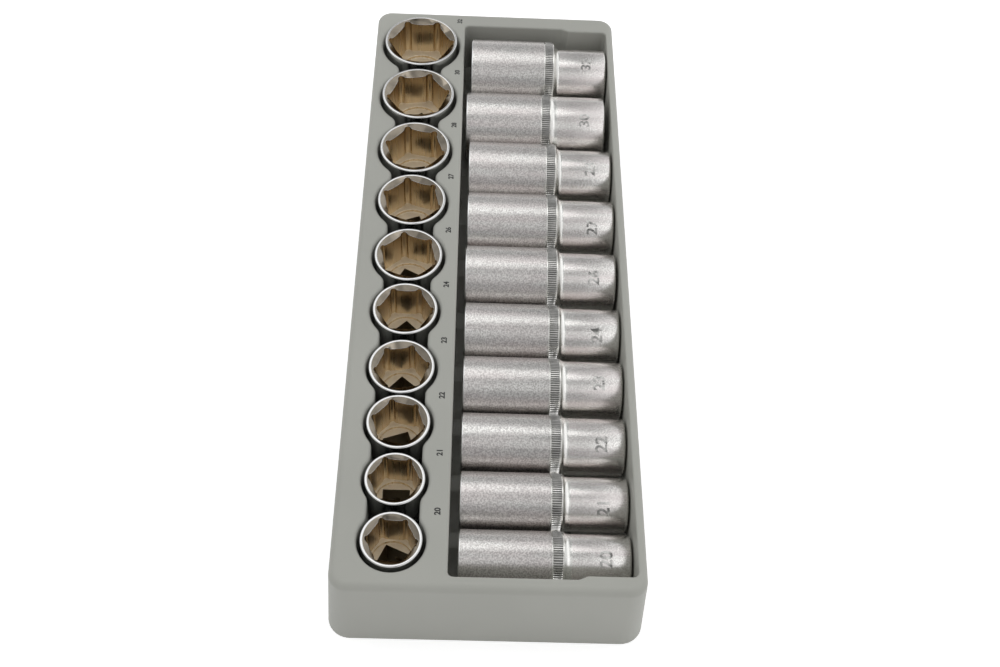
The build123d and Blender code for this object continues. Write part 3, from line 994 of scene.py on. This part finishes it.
def build_floor(look):
    """A large pale floor."""
    mesh = bpy.data.meshes.new("floor")
    corners = [(x * FLOOR_HALF, y * FLOOR_HALF, 0) for x, y in ((-1, -1), (1, -1), (1, 1), (-1, 1))]
    mesh.from_pydata(corners, [], [(0, 1, 2, 3)])
    floor = bpy.data.objects.new("floor", mesh)
    bpy.context.scene.collection.objects.link(floor)
    mesh.materials.append(floor_paper(look))


def area_light(name, place, aim, size, power):
    """A soft rectangular lamp."""
    lamp = bpy.data.lights.new(name, "AREA")
    lamp.shape = "RECTANGLE"
    lamp.size, lamp.size_y = size
    lamp.energy = power
    holder = bpy.data.objects.new(name, lamp)
    bpy.context.scene.collection.objects.link(holder)
    holder.location = place
    holder.rotation_euler = (Vector(aim) - Vector(place)).to_track_quat("-Z", "Y").to_euler()


def build_camera(look):
    """The camera, at the photograph's place, turned slightly about its own axis."""
    lens = bpy.data.cameras.new("camera")
    lens.lens = look.lens
    lens.sensor_width = SENSOR_WIDTH
    lens.clip_start = 0.01
    lens.clip_end = 20.0
    holder = bpy.data.objects.new("camera", lens)
    bpy.context.scene.collection.objects.link(holder)
    holder.location = CAMERA_PLACE
    level = (CAMERA_AIM - CAMERA_PLACE).to_track_quat("-Z", "Y").to_matrix()
    holder.rotation_euler = (level @ Matrix.Rotation(radians(CAMERA_ROLL), 3, "Z")).to_euler()
    bpy.context.scene.camera = holder


class SOCKETTRAY_OT_stage(bpy.types.Operator):
    """Add the floor, the lights and the camera"""
    bl_idname = "socket_tray.stage"
    bl_label = "Stage"

    def execute(self, context):
        look = context.scene.stage_look
        build_world()
        build_floor(look)
        area_light("key", KEY_PLACE, KEY_AIM, KEY_SIZE, look.key_power)
        area_light("fill", FILL_PLACE, FILL_AIM, FILL_SIZE, look.fill_power)
        build_camera(look)
        context.scene.view_settings.view_transform = "Standard"
        return {"FINISHED"}


class SOCKETTRAY_PT_panel(bpy.types.Panel):
    """Lists the pieces and what may be changed"""
    bl_label = "Socket Tray"
    bl_idname = "SOCKETTRAY_PT_panel"
    bl_space_type = "VIEW_3D"
    bl_region_type = "UI"
    bl_category = "Socket Tray"

    def draw(self, context):
        for look in (context.scene.tray_look, context.scene.socket_look, context.scene.stage_look):
            box = self.layout.box()
            for name in look.__annotations__:
                box.prop(look, name)
        for operator in OPERATORS:
            self.layout.operator(operator.bl_idname)


OPERATORS = (SOCKETTRAY_OT_tray, SOCKETTRAY_OT_short_sockets, SOCKETTRAY_OT_deep_sockets,
             SOCKETTRAY_OT_printed_sizes, SOCKETTRAY_OT_stamped_sizes, SOCKETTRAY_OT_stage)
CLASSES = (SocketLook, TrayLook, StageLook, *OPERATORS, SOCKETTRAY_PT_panel)


def register():
    """Make the classes and the three groups of settings known to Blender."""
    for entry in CLASSES:
        bpy.utils.register_class(entry)
    bpy.types.Scene.socket_look = PointerProperty(type=SocketLook)
    bpy.types.Scene.tray_look = PointerProperty(type=TrayLook)
    bpy.types.Scene.stage_look = PointerProperty(type=StageLook)


def unregister():
    """Undo register, in the opposite order."""
    del bpy.types.Scene.stage_look
    del bpy.types.Scene.tray_look
    del bpy.types.Scene.socket_look
    for entry in reversed(CLASSES):
        bpy.utils.unregister_class(entry)


def main():
    """Build every piece in order."""
    register()
    bpy.ops.socket_tray.tray()
    bpy.ops.socket_tray.short_sockets()
    bpy.ops.socket_tray.deep_sockets()
    bpy.ops.socket_tray.printed_sizes()
    bpy.ops.socket_tray.stamped_sizes()
    bpy.ops.socket_tray.stage()


if __name__ == "__main__":
    main()
